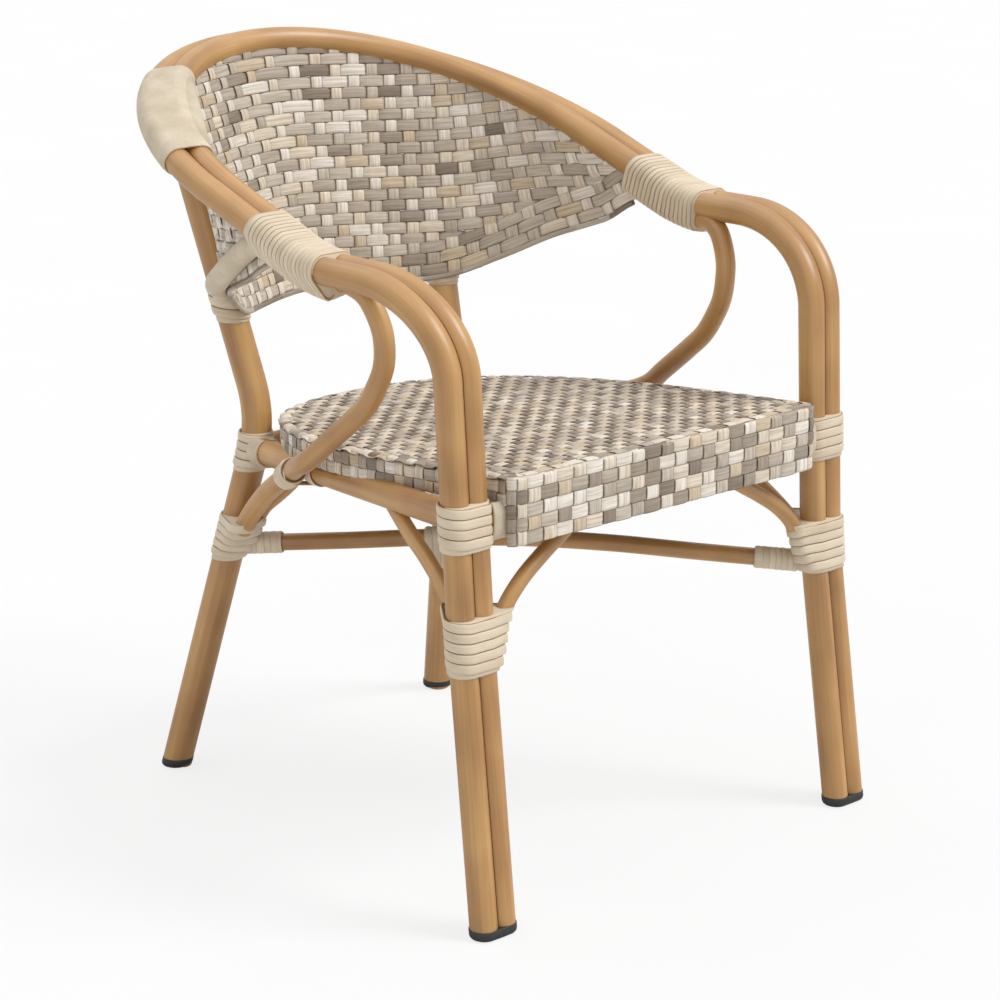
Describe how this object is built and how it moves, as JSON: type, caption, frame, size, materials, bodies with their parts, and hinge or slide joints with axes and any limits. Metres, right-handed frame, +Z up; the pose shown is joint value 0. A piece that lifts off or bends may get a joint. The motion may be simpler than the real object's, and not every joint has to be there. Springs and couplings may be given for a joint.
{
  "type": "rattan bistro chair",
  "caption": "Bistro armchair: a bent twin-tube hoop forms legs, arms and back rail round a woven seat and back, bound with cane.",
  "frame": {"origin": "centre of the footprint's bounding box, on the floor", "axes": "+Z up, -Y to the front where the sitter faces, +X to the sitter's left"},
  "size_m": [0.5966, 0.7114, 0.8056],
  "materials": {
    "frame": "satin paint in the tan of peeled cane, over bent tube",
    "cane": "cream synthetic cane strands",
    "weave": "flat woven strands in cream, taupe and grey-brown",
    "rim": "plain, hidden under the weave",
    "cap": "matt black"
  },
  "bodies": {
    "root": {"frame_hoop": "frame", "rear_post_left": "frame", "rear_post_right": "frame", "front_rail": "frame", "side_rail_left": "frame", "side_rail_right": "frame", "rear_rail": "frame", "front_brace_left": "frame", "front_brace_right": "frame", "front_side_brace_left": "frame", "front_side_brace_right": "frame", "rear_side_brace_left": "frame", "rear_side_brace_right": "frame", "arm_brace_left": "frame", "arm_brace_right": "frame", "over_stretcher": "frame", "under_stretcher": "frame", "back_strut_left": "cane", "back_strut_right": "cane", "front_upper_binding_left": "cane", "front_upper_binding_right": "cane", "front_lower_binding_left": "cane", "front_lower_binding_right": "cane", "rear_upper_binding_left": "cane", "rear_upper_binding_right": "cane", "rear_lower_binding_left": "cane", "rear_lower_binding_right": "cane", "post_back_binding_left": "cane", "post_back_binding_right": "cane", "arm_binding_left": "cane", "arm_binding_right": "cane", "shoulder_wrap_right": "cane", "front_rail_strap_left": "cane", "front_rail_strap_right": "cane", "side_rail_strap_left": "cane", "side_rail_strap_right": "cane", "rail_brace_binding_left": "cane", "rail_brace_binding_right": "cane", "over_stretcher_front_wrap": "cane", "over_stretcher_rear_wrap": "cane", "under_stretcher_front_wrap": "cane", "under_stretcher_rear_wrap": "cane", "crossing_wrap": "cane", "seat_weave": "weave", "back_weave": "weave", "seat_rim": "rim", "seat_slat_1": "rim", "seat_slat_2": "rim", "seat_slat_3": "rim", "back_rod": "rim", "front_foot_cap_left": "cap", "front_foot_cap_right": "cap", "rear_foot_cap_left": "cap", "rear_foot_cap_right": "cap"}
  },
  "joints": []
}
